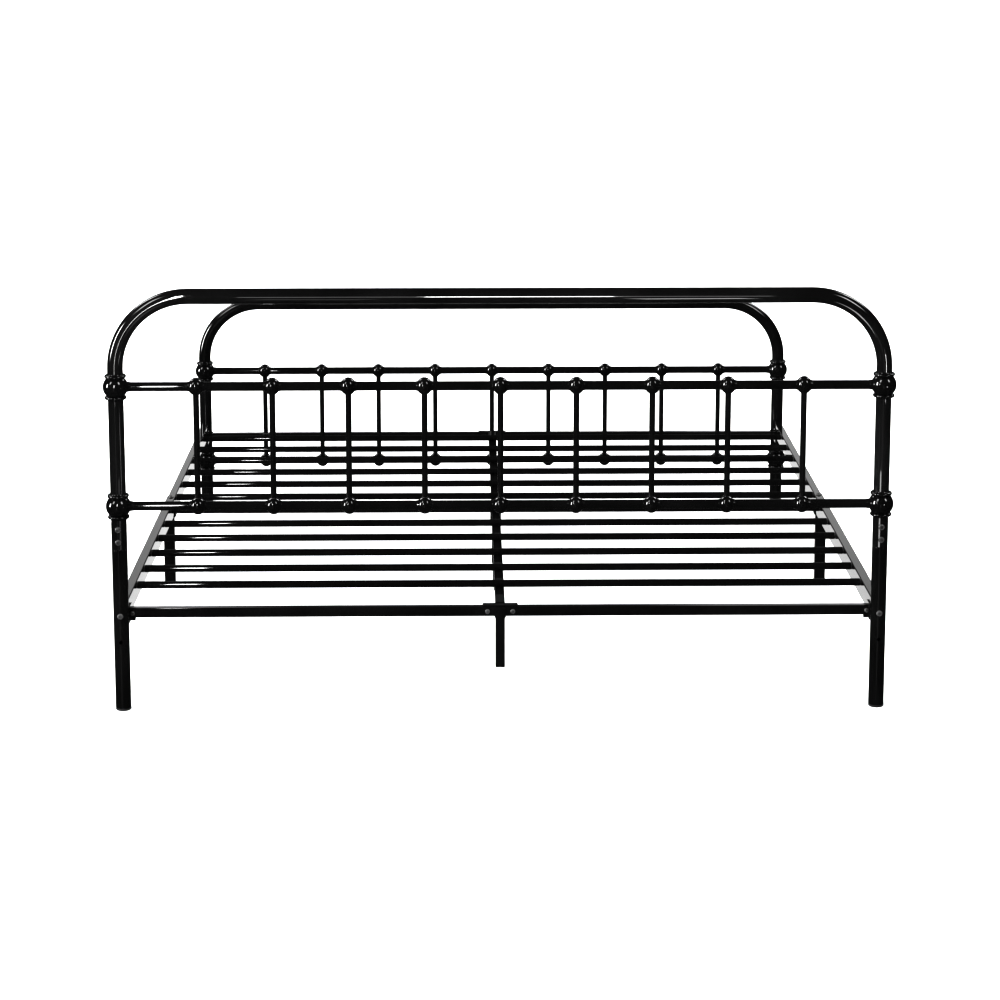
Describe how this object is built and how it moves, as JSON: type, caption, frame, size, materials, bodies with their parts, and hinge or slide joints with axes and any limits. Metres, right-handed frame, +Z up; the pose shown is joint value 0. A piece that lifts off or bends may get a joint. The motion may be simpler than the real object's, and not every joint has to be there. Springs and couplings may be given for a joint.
{
  "type": "metal bed frame",
  "caption": "Tubular metal bed frame with arched headboard and footboard, ball-jointed rails and spindles, side rails, round slats and support legs.",
  "frame": {"origin": "on the floor under the middle of the bed, halfway between the headboard and the footboard", "axes": "+Z up, +Y from the headboard to the footboard, +X to the right of somebody behind the headboard who looks along the bed"},
  "size_m": [1.988, 2.113, 1.0885],
  "materials": {
    "black_paint": "gloss",
    "black_bolts": "satin black",
    "black_plastic": "matte"
  },
  "bodies": {
    "root": {"centre_beam": "black_paint", "centre_leg": "black_paint", "centre_leg_foot": "black_plastic", "floor_cap_foot_left": "black_plastic", "floor_cap_foot_right": "black_plastic", "floor_cap_head_left": "black_plastic", "floor_cap_head_right": "black_plastic", "foot_cross_rail": "black_paint", "foot_hoop": "black_paint", "foot_lower_rail": "black_paint", "foot_rail_bolt_left": "black_bolts", "foot_rail_bolt_right": "black_bolts", "foot_spindle_1": "black_paint", "foot_spindle_2": "black_paint", "foot_spindle_3": "black_paint", "foot_spindle_4": "black_paint", "foot_spindle_5": "black_paint", "foot_spindle_6": "black_paint", "foot_spindle_7": "black_paint", "foot_spindle_8": "black_paint", "foot_spindle_9": "black_paint", "foot_upper_rail": "black_paint", "head_centre_leg": "black_paint", "head_cross_rail": "black_paint", "head_hoop": "black_paint", "head_leg_left": "black_paint", "head_leg_right": "black_paint", "head_lower_rail": "black_paint", "head_rail_bolt_left": "black_bolts", "head_rail_bolt_right": "black_bolts", "head_spindle_1": "black_paint", "head_spindle_2": "black_paint", "head_spindle_3": "black_paint", "head_spindle_4": "black_paint", "head_spindle_5": "black_paint", "head_spindle_6": "black_paint", "head_spindle_7": "black_paint", "head_spindle_8": "black_paint", "head_spindle_9": "black_paint", "head_upper_rail": "black_paint", "side_leg_left": "black_paint", "side_leg_right": "black_paint", "side_rail_left_foot_half": "black_paint", "side_rail_left_head_half": "black_paint", "side_rail_right_foot_half": "black_paint", "side_rail_right_head_half": "black_paint", "slat_01": "black_paint", "slat_02": "black_paint", "slat_03": "black_paint", "slat_04": "black_paint", "slat_05": "black_paint", "slat_06": "black_paint", "slat_07": "black_paint", "slat_08": "black_paint", "slat_09": "black_paint", "slat_10": "black_paint", "slat_11": "black_paint", "slat_12": "black_paint", "splice_bolt_left": "black_bolts", "splice_bolt_right": "black_bolts"}
  },
  "joints": []
}
